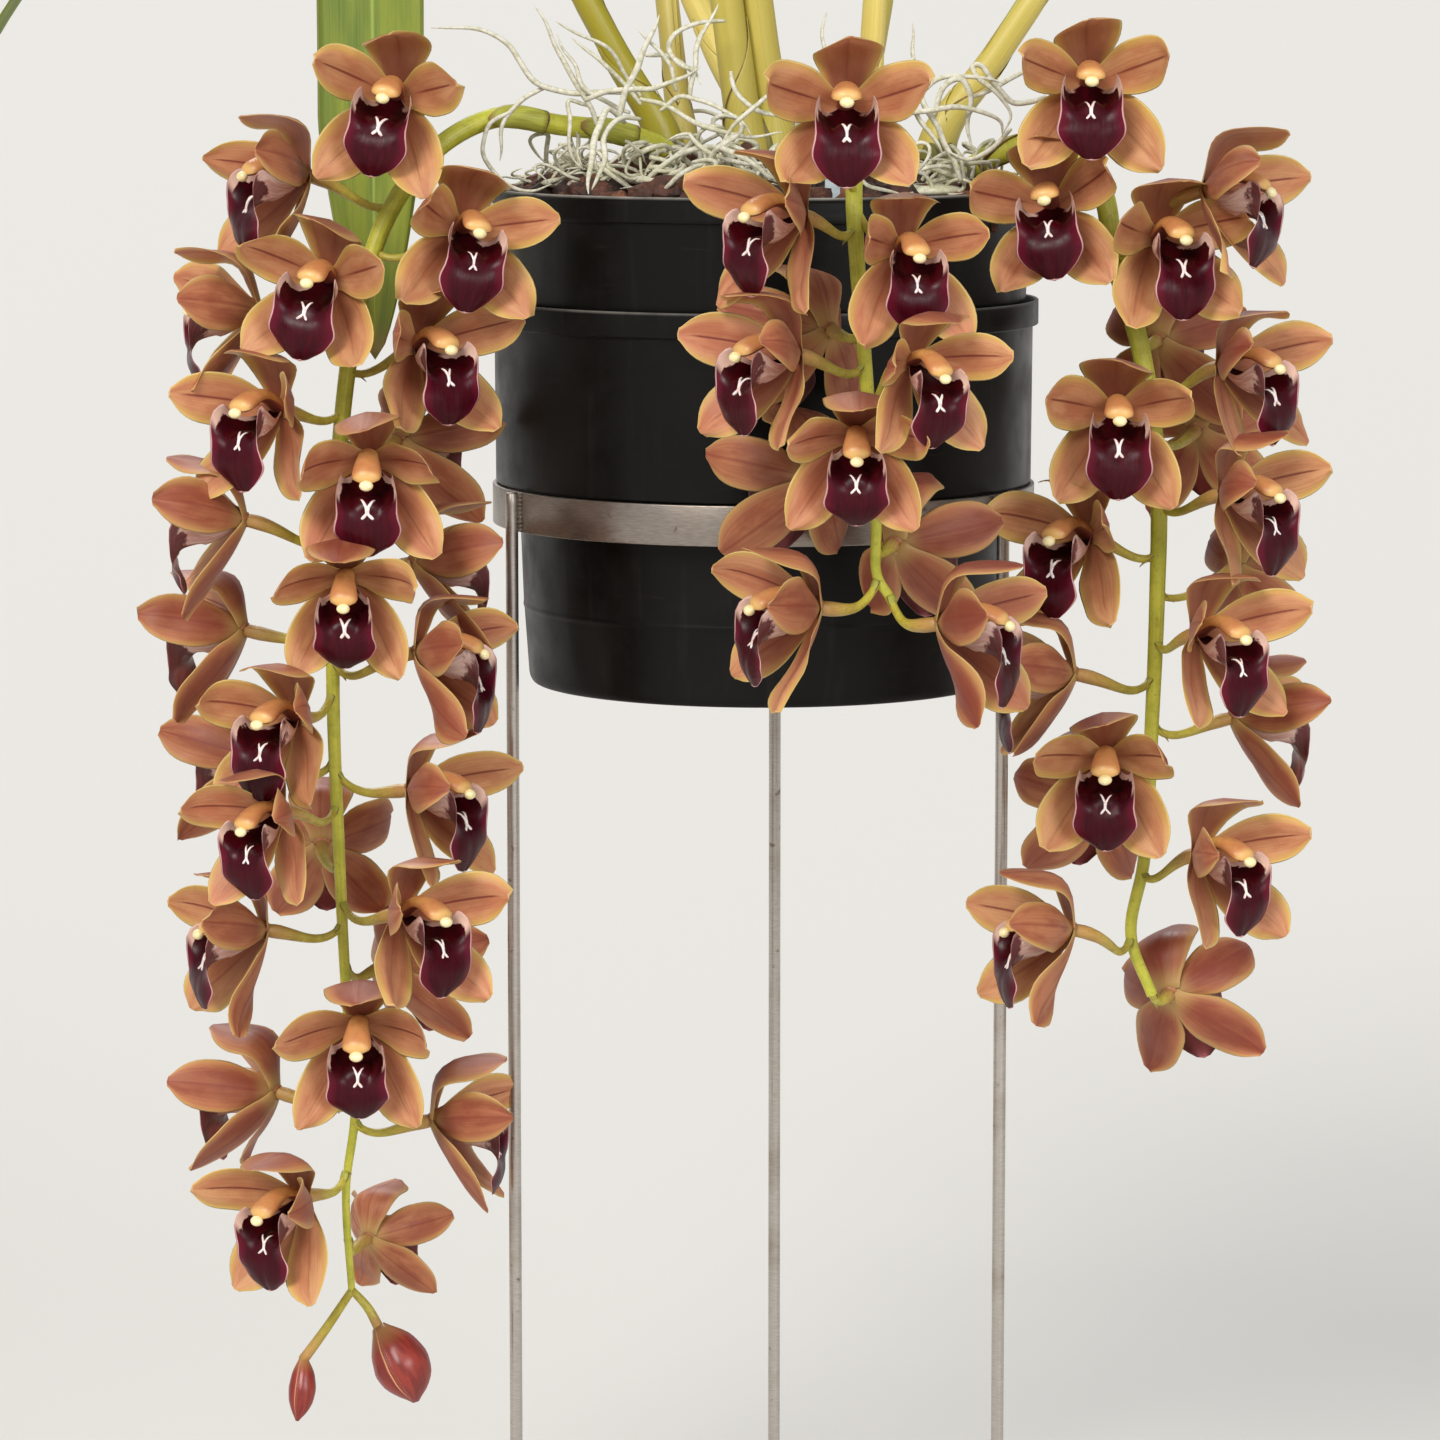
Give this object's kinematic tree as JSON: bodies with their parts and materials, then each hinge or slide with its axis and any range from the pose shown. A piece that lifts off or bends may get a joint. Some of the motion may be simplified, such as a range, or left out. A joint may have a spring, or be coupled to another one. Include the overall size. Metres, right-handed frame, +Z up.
{
  "type": "potted orchid",
  "caption": "Potted cymbidium orchid with hanging sprays of brown and maroon blooms, in nested black nursery pots held in a three-legged steel ring stand.",
  "frame": {"origin": "under the middle of the whole plant, on the floor plane", "axes": "+Z up along the pot's axis, the pictured side faces -Y, +X to its right"},
  "size_m": [0.9648, 0.807, 1.3057],
  "materials": {
    "steel": "satin, slightly grimy",
    "black_plastic": "satin black, dusty at the rims",
    "bark": "rough",
    "leaf": "satin, finely veined",
    "bloom": "waxy salmon brown with yellow edges and a maroon lip",
    "moss": "dry, matt",
    "label": "matt"
  },
  "bodies": {
    "root": {"stand_ring": "steel", "stand_leg_back": "steel", "stand_leg_left": "steel", "stand_leg_right": "steel", "outer_pot": "black_plastic", "inner_pot": "black_plastic", "bark_bed": "bark", "growth_left": "leaf", "growth_front": "leaf", "growth_front_right": "leaf", "growth_right": "leaf", "growth_back_right": "leaf", "growth_back_left": "leaf", "growth_centre": "leaf", "spray_left": "bloom", "spray_middle": "bloom", "spray_right": "bloom", "moss_left": "moss", "moss_front": "moss", "moss_right": "moss", "moss_back": "moss", "plant_tag": "label"}
  },
  "joints": []
}
